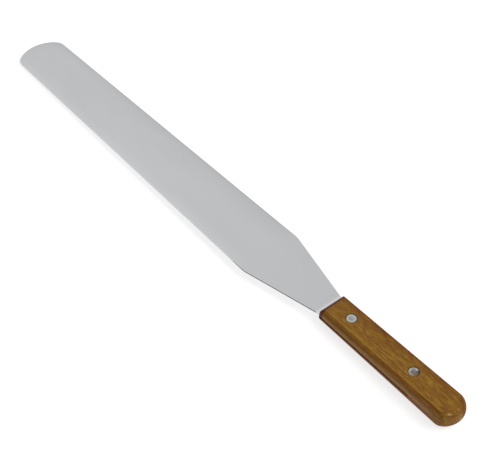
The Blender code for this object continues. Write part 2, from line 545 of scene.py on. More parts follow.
def new_material(name: str) -> tuple[Material, Nodes, bpy.types.Node]:
    """Make a material that has only its Principled shader.

    Args:
        name: The material's name.

    Returns:
        The material, its node tree and its shader.
    """
    material = bpy.data.materials.new(name)
    material.use_nodes = True
    return material, Nodes(material.node_tree), material.node_tree.nodes["Principled BSDF"]


# Finishes


@dataclass(frozen=True)
class SatinSteel:
    """Steel ground along the blade to an even satin.

    The lighter strip in front of the handle, partly polish and partly a painted highlight where the blade meets
    the wood, and the end of the thick edge's painted shade are measured from where that strip starts, and the
    thick edge's own start from where the blade starts to narrow.
    """

    colour: Colour = (0.568, 0.573, 0.585)
    clouded: Colour = (0.552, 0.557, 0.568)
    # Lighter tone: polish on the strip before the handle, and a painted highlight on the rounded edges.
    polish_and_highlight: Colour = (0.66, 0.675, 0.69)
    # Painted shade on the upright edges of the thick part near the neck.
    edge_shade: Colour = (0.17, 0.17, 0.17)
    roughness: float = 0.29
    scratch_roughness: float = 0.10
    scratch_depth: float = 0.000004
    scratches: Grain = Grain((60.0, 9000.0, 9000.0), detail=3.0, rough=0.6)
    clouds: Grain = Grain((14.0, 45.0, 45.0))
    cloud_share: Fade = Fade(0.3, 0.7)
    polished_length: float = 0.0037
    polished_start: Fade = Fade(-0.0004, 0.0004)
    # Painted highlight on the rounded edges.
    edge_highlight: Zone = Zone((0.02, 0.06), (0.25, 0.45))
    upright: Fade = Fade(0.35, 0.65)
    thick_start: Fade = Fade(-0.018, -0.006)
    thick_end: Fade = Fade(-0.0006, 0.0012, 1.0, 0.0)

    def material(self, front: float, taper: float) -> Material:
        """Make the material.

        Args:
            front: Where the handle's front face stands.
            taper: Where the blade starts to narrow towards it.

        Returns:
            The material.
        """
        material, nodes, shader = new_material("satin_steel")
        along = nodes.places()[0]
        steepness = nodes.steepness()
        start = front - self.polished_length
        thick = nodes.product(nodes.fade(along, self.thick_start.moved(taper)),
                              nodes.fade(along, self.thick_end.moved(start)))
        tone = nodes.layered(self.colour, [
            (nodes.fade(nodes.noise(self.clouds), self.cloud_share), self.clouded),
            # Painted highlight where the blade meets the wood, on a strip that is partly polish.
            (nodes.fade(along, self.polished_start.moved(start)), self.polish_and_highlight),
            # Painted highlight on the rounded edges.
            (nodes.within(steepness, self.edge_highlight), self.polish_and_highlight),
            # Painted shade on the upright edges of the thick part near the neck.
            (nodes.product(nodes.fade(steepness, self.upright), thick), self.edge_shade)])
        nodes.join(tone, shader.inputs["Base Color"])
        scratches = nodes.noise(self.scratches)
        roughness = nodes.math("MULTIPLY_ADD", scratches, self.scratch_roughness, self.roughness)
        nodes.join(roughness, shader.inputs["Roughness"])
        nodes.join(nodes.bump(scratches, self.scratch_depth), shader.inputs["Normal"])
        shader.inputs["Metallic"].default_value = 1.0
        return material


@dataclass(frozen=True)
class Mark:
    """A painted highlight, shade or reflection: a lighter or darker spot on a rivet head."""

    along: float
    across: float
    radius: float
    colour: Colour
    strength: float = 1.0


@dataclass(frozen=True)
class RivetMetal:
    """Rivet metal: a lighter rim, partly painted reflection, round a darker middle, with painted spots and a
    painted dark border.
    """

    # Lighter rim, partly painted reflection of the bright surround.
    rim: Colour
    middle: Colour
    # Painted shade along the head's border where it meets its seat, and the colour of the dark pits.
    edge: Colour
    painted_marks: tuple[Mark, ...] = ()
    rim_soft: float = 0.0009
    edge_width: float = 0.0002
    edge_soft: float = 0.0003
    pits: Grain = Grain((2600.0, 2600.0, 2600.0))
    pit_share: Fade = Fade(0.40, 0.75, 0.0, 0.15)
    pit_depth: float = 0.000006
    roughness: float = 0.32

    def material(self, name: str, centre: Vector, rim_radius: float, head_radius: float) -> Material:
        """Make the material of one rivet.

        Args:
            name: The material's name.
            centre: A point on the rivet's axis.
            rim_radius: Radius where the rim begins.
            head_radius: Radius of the head.

        Returns:
            The material.
        """
        material, nodes, shader = new_material(name)
        # A darker middle inside the lighter rim, whose extra lightness is partly painted reflection.
        layers = [(nodes.round_spot(centre, rim_radius, self.rim_soft), self.middle)]
        # Painted highlight, shade and reflection spots.
        for mark in self.painted_marks:
            place = centre + Vector((mark.along, mark.across, 0.0))
            layers.append((nodes.round_spot(place, mark.radius, mark.radius, mark.strength), mark.colour))
        # Painted shade: a darker border round the head where it meets its seat.
        face = nodes.round_spot(centre, head_radius - self.edge_width, self.edge_soft)
        tone = nodes.blend(face, self.edge, nodes.layered(self.rim, layers))
        pits = nodes.noise(self.pits)
        tone = nodes.blend(nodes.fade(pits, self.pit_share), tone, self.edge)
        nodes.join(tone, shader.inputs["Base Color"])
        nodes.join(nodes.bump(pits, self.pit_depth), shader.inputs["Normal"])
        shader.inputs["Roughness"].default_value = self.roughness
        shader.inputs["Metallic"].default_value = 1.0
        return material


# The front head: a lighter, bluer rim, partly painted reflection, round a darker middle.
BRIGHT_RIVET = RivetMetal(rim=(0.43, 0.485, 0.49), middle=(0.37, 0.35, 0.34), edge=(0.30, 0.32, 0.32))
# The rear head: a darker middle, painted highlights at its left and upper rims, painted shade in a crescent to
# its right and a painted brownish reflection of the wood at its lower right.
DARK_RIVET = RivetMetal(
    rim=(0.33, 0.345, 0.35), middle=(0.205, 0.195, 0.168), edge=(0.20, 0.18, 0.15),
    painted_marks=(Mark(-0.0029, -0.0006, 0.0014, (0.42, 0.45, 0.45)),
           Mark(-0.0001, 0.0032, 0.0012, (0.46, 0.48, 0.48)),
           Mark(0.0027, 0.0017, 0.0017, (0.08, 0.085, 0.07)),
           Mark(0.0034, -0.0012, 0.0022, (0.20, 0.14, 0.08), 0.9)))


@dataclass(frozen=True)
class WoodPlace:
    """Where a point of the wood lies, measured from the handle's own lines.

    The side is -1 at the lower face, 0 at the widest line and 1 at the upper face. The distance off the middle
    is 1 at a crease, and so is the distance outward, which also counts what lies past the straight sides.
    """

    from_front: Socket
    across: Socket
    side: Socket
    off_middle: Socket
    past_sides: Socket
    outward: Socket


@dataclass(frozen=True)
class HandleShape:
    """What the wood's finish has to know of the handle's shape."""

    front: float
    length: float
    half_heights: Span
    half_flats: Span
    butt_start: float
    butt_flat: float
    rivet_centres: tuple[Vector, ...]
    seat_radius: float

    def size(self, nodes: Nodes, from_front: Socket, sizes: Span) -> Socket:
        """A size that changes evenly along the handle from the first of two sizes to the second."""
        first, last = sizes
        return nodes.math("MULTIPLY_ADD", from_front, (last - first) / self.length, first)

    def place(self, nodes: Nodes) -> WoodPlace:
        """Find where a point of the wood lies.

        Args:
            nodes: The node tree.

        Returns:
            The point's place.
        """
        along, across, height = nodes.places()
        from_front = nodes.math("SUBTRACT", along, self.front)
        level = nodes.math("DIVIDE", height, self.size(nodes, from_front, self.half_heights))
        side = nodes.math("SUBTRACT", level, 1.0)
        off_middle = nodes.math("DIVIDE", across, self.size(nodes, from_front, self.half_flats))
        past_start = nodes.math("MAXIMUM", nodes.math("SUBTRACT", from_front, self.butt_start), 0.0)
        past_sides = nodes.math("DIVIDE", past_start, self.butt_flat)
        squares = [nodes.product(distance, distance) for distance in (past_sides, off_middle)]
        outward = nodes.math("SQRT", nodes.math("ADD", *squares))
        return WoodPlace(from_front, across, side, off_middle, past_sides, outward)


@dataclass(frozen=True)
class LacqueredWood:
    """Brown hardwood under clear lacquer, with its grain along the handle.

    What changes along the handle is measured from its front face, and what changes round it as WoodPlace says.
    """

    dark: Colour = (0.120, 0.040, 0.001)
    brown: Colour = (0.208, 0.093, 0.004)
    light: Colour = (0.313, 0.167, 0.018)
    ruddy: Colour = (0.172, 0.058, 0.014)
    pore: Colour = (0.090, 0.030, 0.005)
    # A redder stain with painted shade, below the creases.
    stain_and_shade: Colour = (0.265, 0.090, 0.010)
    # Deep red: painted shade along the far crease and round the counterbores, and the darker front end.
    deep_red: Colour = (0.125, 0.024, 0.006)
    # Redder over the lower half of the sides.
    lower_side_red: Colour = (0.260, 0.075, 0.016)
    # Painted reflection of the floor, near the widest line.
    floor_reflection: Colour = (0.315, 0.172, 0.045)
    tone_stops: Triple = (0.35, 0.50, 0.65)
    bands: Grain = Grain((9.0, 150.0, 30.0), twist=0.4)
    figure: Grain = Grain((165.0, 1250.0, 880.0), detail=3.0, rough=0.62, twist=0.3)
    figure_share: float = 0.70
    hue: Grain = Grain((200.0, 1050.0, 760.0), rough=0.6, offset=(3.0, 7.0, 1.0))
    hue_share: Fade = Fade(0.45, 0.66, 0.0, 0.75)
    lines: Grain = Grain((26.0, 600.0, 420.0), rough=0.6, offset=(9.0, 2.0, 5.0))
    line_share: Fade = Fade(0.56, 0.66, 0.0, 0.6)
    # Painted highlight along the near crease.
    crease_highlight: Zone = Zone((-1.06, -1.0), (-0.94, -0.84), 0.5)
    before_butt: Fade = Fade(0.100, 0.112, 0.9, 0.0)
    # Where the redder stain with painted shade lies, below the creases.
    stained_and_shaded_side: Zone = Zone((0.52, 0.74), (0.93, 0.97), 0.55)
    streak: Zone = Zone((0.56, 0.66), (0.70, 0.80))
    streak_lines: Fade = Fade(0.42, 0.60, 0.0, 0.65)
    streak_start: Fade = Fade(0.025, 0.055)
    dark_line: Zone = Zone((0.82, 0.87), (0.93, 0.97), 0.6)
    dark_line_reach: Zone = Zone((0.086, 0.100), (0.110, 0.115))
    # Where the painted floor reflection lies.
    floor_reflection_band: Zone = Zone((0.04, 0.18), (0.30, 0.62), 0.9)
    below_slot: Zone = Zone((-1.0, -0.94), (-0.06, 0.0))
    low_share: Fade = Fade(0.096, 0.112, 0.8, 0.25)
    far_half: Fade = Fade(0.0, 0.004, 0.0, 0.85)
    # The far crease, where shade is painted and the lacquer is rougher.
    far_crease: Zone = Zone((0.90, 0.97), (1.24, 1.36))
    far_crease_share: Fade = Fade(0.1, 0.5, 1.0, 0.45)
    # Painted shade round the far side of the butt.
    butt_edge: Zone = Zone((0.74, 0.90), (1.24, 1.36))
    butt_share: Fade = Fade(0.1, 0.5)
    # Darker over the first few millimetres from the front face.
    dark_front_end: Fade = Fade(0.0028, 0.0038, 1.0, 0.0)
    # Painted shade round the counterbores.
    hole_border: float = 0.0004
    hole_soft: float = 0.0008
    hole_strength: float = 0.7
    pores: Grain = Grain((300.0, 3600.0, 2800.0), detail=1.0)
    pore_share: Fade = Fade(0.60, 0.72, 0.0, 0.6)
    pore_relief: Fade = Fade(0.58, 0.72, 0.3, 0.0)
    figure_relief: float = 0.7
    grain_depth: float = 0.00003
    roughness: float = 0.24
    dulled_roughness: float = 0.45
    specular: float = 0.21
    gloss_tint: Colour = (1.0, 0.94, 0.75)

    def bare_wood(self, nodes: Nodes, figure: Socket, lines: Socket) -> Socket:
        """Colour the wood by its grain alone.

        Args:
            nodes: The node tree.
            figure: The pattern of the figure.
            lines: The pattern of the dark lines.

        Returns:
            The colour.
        """
        bands = nodes.product(nodes.noise(self.bands), 1.0 - self.figure_share)
        mixed = nodes.math("ADD", bands, nodes.product(figure, self.figure_share))
        tone = nodes.ramp(mixed, zip(self.tone_stops, (self.dark, self.brown, self.light)))
        ruddy = nodes.fade(nodes.noise(self.hue), self.hue_share)
        return nodes.layered(tone, [(ruddy, self.ruddy), (nodes.fade(lines, self.line_share), self.dark)])

    def side_layers(self, nodes: Nodes, place: WoodPlace, lines: Socket) -> list[Layer]:
        """A painted highlight along the near crease, a redder stain with painted shade, dark streaks and lines,
        and a painted floor reflection along the sides.

        Args:
            nodes: The node tree.
            place: Where the point lies.
            lines: The pattern of the dark lines.

        Returns:
            Each colour's share and the colour.
        """
        before_butt = nodes.fade(place.from_front, self.before_butt)
        streak = nodes.product(nodes.within(place.side, self.streak), nodes.fade(lines, self.streak_lines),
                               nodes.fade(place.from_front, self.streak_start))
        dark_line = nodes.product(nodes.within(place.side, self.dark_line),
                                  nodes.within(place.from_front, self.dark_line_reach))
        # Painted highlight along the near crease.
        return [(nodes.within(place.off_middle, self.crease_highlight), self.light),
                # A redder stain with painted shade below the creases.
                (nodes.product(nodes.within(place.side, self.stained_and_shaded_side), before_butt), self.stain_and_shade),
                (streak, self.dark),
                (dark_line, self.dark),
                # Painted floor reflection near the widest line.
                (nodes.product(nodes.within(place.side, self.floor_reflection_band), before_butt), self.floor_reflection)]

    def end_layers(self, nodes: Nodes, shape: HandleShape, place: WoodPlace, far_crease: Socket) -> list[Layer]:
        """Painted shade round the far side of the butt, along the far crease and round the counterbores, and a
        darker front end.

        Args:
            nodes: The node tree.
            shape: Where the handle lies and how it widens.
            place: Where the point lies.
            far_crease: The share of the far edge.

        Returns:
            Each colour's share and the colour.
        """
        # Painted shade round the far side of the butt.
        butt_edge = nodes.product(nodes.within(place.outward, self.butt_edge),
                                  nodes.fade(place.across, self.far_half),
                                  nodes.fade(place.past_sides, self.butt_share))
        layers = [(butt_edge, self.dark),
                  # Painted shade along the far crease, less of it round the butt.
                  (nodes.product(far_crease, nodes.fade(place.past_sides, self.far_crease_share)), self.deep_red),
                  # Darker over the first few millimetres from the front face.
                  (nodes.fade(place.from_front, self.dark_front_end), self.deep_red)]
        # Painted shade round each counterbore.
        for centre in shape.rivet_centres:
            radius = shape.seat_radius + self.hole_border
            hole = nodes.round_spot(centre, radius, self.hole_soft, self.hole_strength)
            layers.append((hole, self.deep_red))
        return layers

    def material(self, shape: HandleShape) -> Material:
        """Make the material.

        Args:
            shape: Where the handle lies and how it widens.

        Returns:
            The material.
        """
        material, nodes, shader = new_material("lacquered_wood")
        place = shape.place(nodes)
        figure, lines, pores = (nodes.noise(grain) for grain in (self.figure, self.lines, self.pores))
        below_slot = nodes.within(place.side, self.below_slot)
        # The far crease, where shade is painted and the lacquer is rougher.
        far_crease = nodes.product(nodes.within(place.outward, self.far_crease),
                                   nodes.fade(place.across, self.far_half))
        tone = nodes.layered(self.bare_wood(nodes, figure, lines), [
            *self.side_layers(nodes, place, lines),
            # Redder over the lower half of the sides, less so towards the butt.
            (nodes.product(below_slot, nodes.fade(place.from_front, self.low_share)), self.lower_side_red),
            *self.end_layers(nodes, shape, place, far_crease),
            (nodes.fade(pores, self.pore_share), self.pore)])
        nodes.join(tone, shader.inputs["Base Color"])
        relief = nodes.math("ADD", nodes.product(figure, self.figure_relief),
                            nodes.fade(pores, self.pore_relief))
        nodes.join(nodes.bump(relief, self.grain_depth), shader.inputs["Normal"])
        dulled = nodes.math("MAXIMUM", far_crease, below_slot)
        roughness = nodes.math("MULTIPLY_ADD", dulled, self.dulled_roughness, self.roughness)
        nodes.join(roughness, shader.inputs["Roughness"])
        shader.inputs["Specular IOR Level"].default_value = self.specular
        shader.inputs["Specular Tint"].default_value = (*self.gloss_tint, 1.0)
        return material


# The tool's pieces


@dataclass(frozen=True)
class Lie:
    """How the tool lies on the floor."""

    slope: float
    front: float
    front_half_thickness: float

    def matrix(self) -> Matrix:
        """The transform from the tool's own frame to where it lies."""
        shift = Vector((self.front * cos(self.slope), 0.0, self.front_half_thickness * cos(self.slope)))
        return Matrix.Translation(shift) @ Matrix.Rotation(-self.slope, 4, "Y")

    def lay(self, item: Item) -> None:
        """Move an object's mesh from the tool's own frame to where it lies.

        Args:
            item: The object.
        """
        make_active(item)
        item.matrix_world = self.matrix()
        bpy.context.view_layer.update()
        bpy.ops.object.transform_apply(location=True, rotation=True, scale=True)


@dataclass(frozen=True)
class RivetHole:
    """A rivet's hole through tang and wood, with a counterbore at each end."""

    u: float
    bore_radius: float
    seat_radius: float
    seat_depth: float


@dataclass
class Blade:
    """The blade, its neck and its tang."""

    exposed_length: float = 0.3556
    shoulder_width: float = 0.0496
    tip_width: float = 0.0402
    neck_length: float = 0.0629
    neck_width: float = 0.0206
    tip_crown: float = 0.0092
    tip_corner_radius: float = 0.0103
    crown_reach: float = 0.05
    shoulder_radius: float = 0.0187
    thickness: float = 0.0012
    tip_thickness: float = 0.0007
    tang_width: float = 0.0180
    tang_run_in: float = 0.0060
    tang_length: float = 0.0850
    tang_corner_radius: float = 0.0040
    edge_fall: float = 0.00018
    edge_band: float = 0.0085
    lip_fall: float = 0.00004
    lip_band: float = 0.0013
    square_run_in: float = 0.010
    square_lead: float = 0.006
    edge_rounding: float = 0.00010
    edge_angle: float = radians(50)
    smooth_angle: float = radians(35)
    hole_reach: float = 0.003
    crown_steps: int = 10
    tip_corner_steps: int = 14
    side_steps: int = 34
    shoulder_steps: int = 12
    neck_steps: int = 9
    tang_steps: int = 8
    tang_corner_steps: int = 6
    edge_columns: tuple[float, ...] = (0.0, 0.0003, 0.0007, 0.0013, 0.0022, 0.0036, 0.0058, 0.0085)
    edge_room: float = 1.2
    middle_columns: int = 8
    finish: SatinSteel = field(default_factory=SatinSteel)

    @cached_property
    def crown(self) -> Point:
        """The tip's shallow arc: its centre along u and its radius."""
        radius = ((self.tip_width / 2) ** 2 + self.tip_crown ** 2) / (2 * self.tip_crown)
        return radius - self.exposed_length, radius

    def tip_corner(self) -> list[Point]:
        """Run the tip's shallow arc into the side.

        Returns:
            The points of the corner arc.
        """
        centre, crown_radius = self.crown
        radius = self.tip_corner_radius
        corner_y = self.tip_width / 2 - radius
        corner_u = centre - sqrt((crown_radius - radius) ** 2 - corner_y ** 2)
        meet = atan2(corner_y, centre - corner_u)
        steps = self.tip_corner_steps
        turns = [meet + (pi / 2 - meet) * step / steps for step in range(steps + 1)]
        return [(corner_u - radius * cos(turn), corner_y + radius * sin(turn)) for turn in turns]

    @cached_property
    def side(self) -> list[Point]:
        """One side of the outline.

        Returns:
            The points, from where the tip's corner arc begins to the tang's end.
        """
        corner = self.tip_corner()
        shoulder = (-self.neck_length, self.shoulder_width / 2)
        neck = (0.0, self.neck_width / 2)
        tang = (self.tang_run_in, self.tang_width / 2)
        tang_end = (self.tang_length, self.tang_width / 2)
        bend = corner_arc(corner[-1], shoulder, neck, self.shoulder_radius, self.shoulder_steps)
        end = corner_arc(tang, tang_end, (self.tang_length, 0.0), self.tang_corner_radius,
                         self.tang_corner_steps)
        points = corner + stretch(corner[-1], bend[0], self.side_steps) + bend
        points += stretch(bend[-1], neck, self.neck_steps) + [neck, tang]
        return points + stretch(tang, end[0], self.tang_steps) + end

    @cached_property
    def outline(self) -> list[Point]:
        """Half of the blade's outline.

        Returns:
            The points, from the tip's apex to the tang's end.
        """
        centre, radius = self.crown
        turn = atan2(self.side[0][1], centre - self.side[0][0])
        turns = [turn * step / self.crown_steps for step in range(self.crown_steps)]
        return [(centre - radius * cos(turn), radius * sin(turn)) for turn in turns] + self.side

    def half_thickness(self, u: float, from_edge: float) -> float:
        """Half of the blade's thickness.

        Args:
            u: Place along the tool.
            from_edge: Distance from the nearest edge.

        Returns:
            The half thickness.
        """
        towards_tip = max(0.0, -u / self.exposed_length)
        half = (self.thickness - towards_tip * (self.thickness - self.tip_thickness)) / 2
        near_edge = max(0.0, 1.0 - from_edge / self.edge_band)
        at_lip = max(0.0, 1.0 - from_edge / self.lip_band)
        past_shoulder = min(1.0, max(0.0, (u + self.neck_length + self.square_lead) / self.square_run_in + 1.0))
        return half - (self.edge_fall * near_edge ** 2 + self.lip_fall * at_lip ** 2) * (1.0 - past_shoulder)

    def columns(self, half_width: float) -> list[float]:
        """Place the grid's lines across the blade, finest along its edges.

        Args:
            half_width: Half of the blade's width there.

        Returns:
            The lines' places.
        """
        fit = min(1.0, half_width / (self.edge_room * self.edge_columns[-1]))
        outer = [half_width - distance * fit for distance in self.edge_columns]
        inner = outer[-1]
        middle = [inner * (1 - 2 * step / self.middle_columns) for step in range(1, self.middle_columns)]
        return [-place for place in outer] + list(reversed(middle)) + list(reversed(outer))

    def spread(self, row: int, line: int) -> Vector:
        """Find where a point of the grid belongs on the blade.

        Args:
            row: The point's row, counted from the tip.
            line: Its line across the blade.

        Returns:
            Its place.
        """
        tip_u, tip_y = self.side[0]
        u, half_width = self.side[row]
        y = self.columns(half_width)[line]
        centre, radius = self.crown
        bulge = tip_u - (centre - sqrt(radius ** 2 - (tip_y * y / half_width) ** 2))
        return Vector((u - bulge * max(0.0, 1.0 - (u - tip_u) / self.crown_reach) ** 2, y, 0.0))

    def grind(self, place: Vector) -> Vector:
        """Bring a point of the stock to the blade's thickness.

        Args:
            place: The point.

        Returns:
            Its place on the ground face.
        """
        u, y, h = place
        half = self.half_thickness(u, distance_to_line(self.outline, (u, abs(y))))
        return Vector((u, y, half if h > 0 else -half))

    def build(self, holes: Iterable[RivetHole]) -> Item:
        """Model the blade.

        Args:
            holes: The rivets' holes.

        Returns:
            The blade in the tool's own frame.
        """
        rows = len(self.side) - 1
        lines = len(self.columns(self.tip_width / 2)) - 1
        deselect_all()
        bpy.ops.mesh.primitive_grid_add(x_subdivisions=rows, y_subdivisions=lines, size=1.0)
        blade = bpy.context.object
        blade.name = "steel_blade"
        with editing(blade, "VERT"):
            set_vertices(blade, lambda vertex: self.spread(round((vertex.co.x + 0.5) * rows),
                                                           round((vertex.co.y + 0.5) * lines)))
        apply_modifier(blade, "stock", "SOLIDIFY", thickness=self.thickness, offset=0.0)
        with editing(blade, "VERT"):
            set_vertices(blade, lambda vertex: self.grind(vertex.co))
        apply_modifier(blade, "worn_edges", "BEVEL", width=self.edge_rounding, segments=3,
                       limit_method="ANGLE", angle_limit=self.edge_angle)
        for hole in holes:
            cut_away(blade, cylinder("tang_hole", hole.bore_radius, hole.u, -self.hole_reach, self.hole_reach))
        return blade

    def dress(self, blade: Item, front: float) -> None:
        """Give the blade its finish and its place.

        Args:
            blade: The blade.
            front: Where the handle's front face stands.
        """
        smooth(blade, self.smooth_angle)
        blade.data.materials.append(self.finish.material(front, front - self.neck_length))
        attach(blade, BODY)
        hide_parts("blade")


@dataclass
class Handle:
    """The slotted wooden handle."""

    length: float = 0.12065
    front_width: float = 0.0240
    rear_width: float = 0.0255
    front_flat_width: float = 0.0170
    rear_flat_width: float = 0.0196
    front_thickness: float = 0.0124
    rear_thickness: float = 0.0158
    side_sweep: float = radians(53)
    butt_length: float = 0.0115
    butt_crease_inset: float = 0.0008
    upper_butt_rounding: float = 0.0040
    lower_butt_rounding: float = 0.0058
    upper_butt_fullness: float = 1.85
    bevel_length: float = 0.0019
    bevel_depth: float = 0.0025
    front_corner: float = 0.0009
    slot_width: float = 0.0014
    slot_depth: float = 0.0872
    saw_radius: float = 0.060
    crease_rounding: float = 0.00030
    crease_angle: float = radians(26)
    smooth_angle: float = radians(30)
    side_levels: int = 12
    side_stations: int = 10
    butt_steps: int = 56
    corner_steps: int = 5
    saw_steps: int = 256
    seat_steps: int = 96
    finish: LacqueredWood = field(default_factory=LacqueredWood)

    def along(self, front: float, rear: float, u: float) -> float:
        """A size at u that changes evenly from the front to the butt."""
        return front + (rear - front) * u / self.length

    def half_thickness(self, u: float) -> float:
        """Height of the upper face at u."""
        return self.along(self.front_thickness, self.rear_thickness, u) / 2

    def half_width(self, u: float) -> float:
        """Half of the width at u."""
        return self.along(self.front_width, self.rear_width, u) / 2

    def crease_inset(self, u: float) -> float:
        """How far the creases stand in from the widest line at u."""
        return self.half_width(u) - self.along(self.front_flat_width, self.rear_flat_width, u) / 2

    def levels(self) -> list[float]:
        """Choose the rings' sweep angles.

        Returns:
            The angles, from the lower face to the upper one.
        """
        half = [self.side_sweep * step / self.side_levels for step in range(1, self.side_levels + 1)]
        bevel_sine = (1 - 2 * self.bevel_depth / self.front_thickness) * sin(self.side_sweep)
        half.append(atan2(bevel_sine, sqrt(1 - bevel_sine ** 2)))
        half.sort()
        return [-angle for angle in reversed(half)] + [0.0] + half

    def inset_share(self, angle: float) -> float:
        """How far a ring stands in from the widest line, as a share of the crease's inset."""
        return (1 - cos(angle)) / (1 - cos(self.side_sweep))

    def near_side(self, angle: float, height: float) -> list[Point]:
        """One ring's points along the near side, with the front's near corner.

        Args:
            angle: The ring's sweep angle.
            height: Its height as a share of the half thickness.

        Returns:
            The points, from the front to where the butt starts.
        """
        below_face = self.front_thickness / 2 * (1 - abs(height))
        front = self.bevel_length * max(0.0, 1 - below_face / self.bevel_depth)
        places = []
        for step in range(self.corner_steps):
            turn = pi / 2 * step / self.corner_steps
            places.append((front + self.front_corner * (1 - cos(turn)), self.front_corner * (1 - sin(turn))))
        first = front + self.front_corner
        run = self.length - self.butt_length - first
        places += [(first + run * station / self.side_stations, 0.0) for station in range(self.side_stations)]
        share = self.inset_share(angle)
        return [(u, share * self.crease_inset(u) - self.half_width(u) + eased) for u, eased in places]

    def butt_profile(self, angle: float, height: float) -> Point:
        """The middle line of the butt's end, a full curve above and a slimmer one below.

        Args:
            angle: The ring's sweep angle.
            height: Its height along the sides as a share of the half thickness.

        Returns:
            How far the ring stands in from the end, and its height there as a share of the half thickness.
        """
        if angle <= 0:
            return self.inset_share(angle) * self.lower_butt_rounding, height
        turn = pi / 2 * angle / self.side_sweep
        power = 2 / self.upper_butt_fullness
        return self.upper_butt_rounding * (1 - max(0.0, cos(turn)) ** power), sin(turn) ** power

    def ring(self, angle: float) -> list[Vector]:
        """One ring of points round the handle.

        Args:
            angle: The sweep angle of its sides.

        Returns:
            The points, from the front's near corner round the butt.
        """
        height = sin(angle) / sin(self.side_sweep)
        end_inset, end_height = self.butt_profile(angle, height)
        butt = []
        for step in range(self.butt_steps + 1):
            turn = -pi / 2 + pi * step / self.butt_steps
            u = self.length - self.butt_length + self.butt_length * cos(turn)
            reach = self.half_width(u)
            ahead, across = cos(turn) / self.butt_length, sin(turn) / reach
            at_end = cos(turn) ** 2
            inset = self.inset_share(angle) * self.crease_inset(u) * (1 - at_end) + end_inset * at_end
            inset /= hypot(ahead, across)
            level = height * (1 - at_end) + end_height * at_end
            butt.append((u - ahead * inset, reach * sin(turn) - across * inset, level))
        near = [(u, y, height) for u, y in self.near_side(angle, height)]
        far = [(u, -y, level) for u, y, level in reversed(near)]
        return [Vector((u, y, level * self.half_thickness(u))) for u, y, level in near + butt + far]

    def block(self) -> Item:
        """Raise the block ring by ring from its lower face.

        Returns:
            The block.
        """
        angles = self.levels()
        count = len(self.ring(0.0))
        deselect_all()
        bpy.ops.mesh.primitive_circle_add(vertices=count, radius=self.length / 2, fill_type="NOTHING")
        block = bpy.context.object
        block.name = "wooden_handle"
        stations = block.data.attributes.new("station", "INT", "POINT")
        for index, datum in enumerate(stations.data):
            datum.value = index
        with editing(block, "VERT"):
            bpy.ops.mesh.select_all(action="SELECT")
            self.move_ring(block, self.ring(angles[0]))
            for angle in angles[1:]:
                bpy.ops.mesh.extrude_region_move()
                self.move_ring(block, self.ring(angle))
            bpy.ops.mesh.edge_face_add()
            bpy.ops.mesh.select_all(action="DESELECT")
            select_where(block, "edges", lambda edge: edge.is_boundary)
            bpy.ops.mesh.select_mode(type="EDGE")
            bpy.ops.mesh.edge_face_add()
            bpy.ops.mesh.select_all(action="SELECT")
            bpy.ops.mesh.normals_make_consistent(inside=False)
        block.data.attributes.remove(block.data.attributes["station"])
        return block

    def move_ring(self, block: Item, ring: Sequence[Vector]) -> None:
        """Move the selected vertices onto a ring, each to its own station.

        Args:
            block: The block being raised.
            ring: The ring's points.
        """
        shape = bmesh.from_edit_mesh(block.data)
        station = shape.verts.layers.int["station"]
        for vertex in shape.verts:
            if vertex.select:
                vertex.co = ring[vertex[station]]
        bmesh.update_edit_mesh(block.data)

    def soften(self, handle: Item) -> None:
        """Round every crease of the block a little.

        Args:
            handle: The block.
        """
        with editing(handle, "EDGE"):
            select_where(handle, "edges", lambda edge: edge.calc_face_angle(0.0) > self.crease_angle)
            bpy.ops.mesh.bevel(offset=self.crease_rounding, segments=3, profile=0.5, affect="EDGES",
                               clamp_overlap=True)

    def saw(self, handle: Item) -> None:
        """Cut the slot for the tang with a round saw.

        Args:
            handle: The block.
        """
        half = self.slot_width / 2
        cut_away(handle, cylinder("saw", self.saw_radius, self.slot_depth - self.saw_radius, -half, half,
                                  self.saw_steps))

    def drill(self, handle: Item, hole: RivetHole) -> None:
        """Bore one rivet hole and its two counterbores.

        Args:
            handle: The block.
            hole: The hole.
        """
        face = self.half_thickness(hole.u)
        cut_away(handle, cylinder("bore", hole.bore_radius, hole.u, -2 * face, 2 * face))
        for side in Face:
            ends = sorted((side.value * (face - hole.seat_depth), side.value * 2 * face))
            cut_away(handle, cylinder("seat", hole.seat_radius, hole.u, *ends, self.seat_steps))

    def build(self, holes: Iterable[RivetHole]) -> Item:
        """Model the handle.

        Args:
            holes: The rivets' holes.

        Returns:
            The handle in the tool's own frame.
        """
        handle = self.block()
        self.soften(handle)
        self.saw(handle)
        for hole in holes:
            self.drill(handle, hole)
        return handle

    def dress(self, handle: Item, front: float, rivet_centres: tuple[Vector, ...],
              seat_radius: float) -> None:
        """Give the handle its finish and its place.

        Args:
            handle: The handle.
            front: Where its front face stands.
            rivet_centres: A point on each rivet's axis.
            seat_radius: Radius of the counterbores.
        """
        smooth(handle, self.smooth_angle)
        shape = HandleShape(
            front=front, length=self.length,
            half_heights=(self.front_thickness / 2, self.rear_thickness / 2),
            half_flats=(self.front_flat_width / 2, self.rear_flat_width / 2),
            butt_start=self.length - self.butt_length, butt_flat=self.butt_length - self.butt_crease_inset,
            rivet_centres=rivet_centres, seat_radius=seat_radius)
        handle.data.materials.append(self.finish.material(shape))
        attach(handle, BODY)
        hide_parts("handle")


@dataclass
class Rivet:
    """A two-part rivet: a post from above and a sleeve from below."""

    name: str
    u: float
    face: float
    dish: float = 0.00015
    head_diameter: float = 0.0074
    head_thickness: float = 0.0012
    rim_chamfer: float = 0.00045
    dish_diameter: float = 0.0040
    recess: float = 0.0002
    post_diameter: float = 0.0024
    point_length: float = 0.0003
    point_share: float = 0.75
    sleeve_wall: float = 0.0008
    gap: float = 0.0003
    steps: int = 96
    dish_rings: int = 6
    last_ring: float = 0.96
    smooth_angle: float = radians(35)
    finish: RivetMetal = BRIGHT_RIVET

